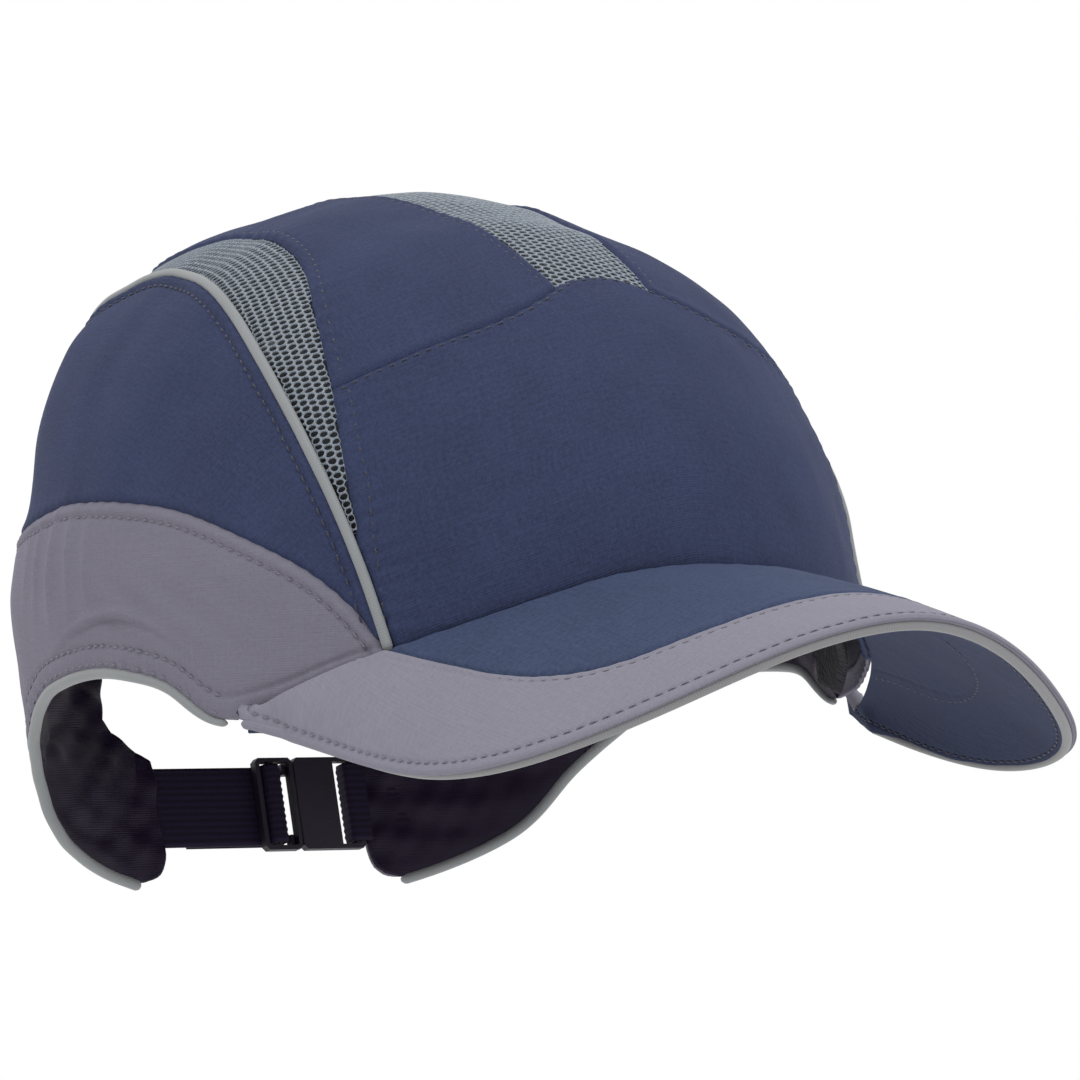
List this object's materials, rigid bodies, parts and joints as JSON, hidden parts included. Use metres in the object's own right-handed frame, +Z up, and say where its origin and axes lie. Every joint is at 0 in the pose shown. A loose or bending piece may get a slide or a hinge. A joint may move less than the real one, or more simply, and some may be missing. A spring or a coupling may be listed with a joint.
{
  "type": "bump cap",
  "caption": "Peaked fabric bump cap with mesh vents, a vented hard shell and foam pads inside, and an elastic nape strap with a flat hook clasp.",
  "frame": {"origin": "middle of the head space, level with the widest part of the crown", "axes": "+Z up, the peak points along -Y, the wearer's left is +X"},
  "size_m": [0.1808, 0.2826, 0.1587],
  "materials": {
    "navy_twill": "brushed twill",
    "grey_twill": "brushed twill",
    "mesh": "knitted",
    "piping": "woven tape",
    "binding": "woven tape",
    "lining": "matte",
    "towelling": "towelling",
    "strap": "ribbed",
    "clasp_plastic": "satin",
    "shell_plastic": "satin",
    "board_plastic": "matte",
    "foam_pad": "matte"
  },
  "bodies": {
    "cap": {"bump_shell": "shell_plastic", "crown_pad": "foam_pad", "crown_piping_left": "piping", "crown_piping_right": "piping", "elastic_root": "strap", "front_pad": "foam_pad", "front_panel": "navy_twill", "hem_piping_left": "binding", "hem_piping_right": "binding", "lower_panel_left": "grey_twill", "lower_panel_right": "grey_twill", "nape_binding": "lining", "peak_binding": "binding", "peak_board": "board_plastic", "peak_border": "grey_twill", "peak_top": "navy_twill", "peak_under": "navy_twill", "rear_pad": "foam_pad", "rear_panel_left": "navy_twill", "rear_panel_right": "navy_twill", "side_lining_left": "lining", "side_lining_right": "lining", "side_mesh_left": "mesh", "side_mesh_right": "mesh", "side_pad_left": "foam_pad", "side_pad_right": "foam_pad", "sweatband": "towelling", "top_mesh": "mesh", "top_panel_left": "navy_twill", "top_panel_right": "navy_twill", "webbing_root": "strap"},
    "hook_half": {"clasp_hook": "clasp_plastic", "left_webbing": "strap"},
    "strap_half": {"elastic_strap": "strap", "clasp_frame": "clasp_plastic"},
    "tail": {"strap_tail": "strap"}
  },
  "joints": [
    {"name": "hook_swing", "type": "hinge", "parent": "cap", "child": "hook_half", "pos_m": [0.0294, 0.07245, -0.03456], "axis": [0, -0.2079, -0.9781], "range_deg": [0, 75]},
    {"name": "strap_swing", "type": "hinge", "parent": "cap", "child": "strap_half", "pos_m": [-0.0294, 0.07245, -0.03456], "axis": [0, -0.2079, -0.9781], "range_deg": [0, 60]},
    {"name": "tail_slide", "type": "slide", "parent": "strap_half", "child": "tail", "axis": [1, 0, 0], "range_m": [-0.008, 0.006]}
  ]
}
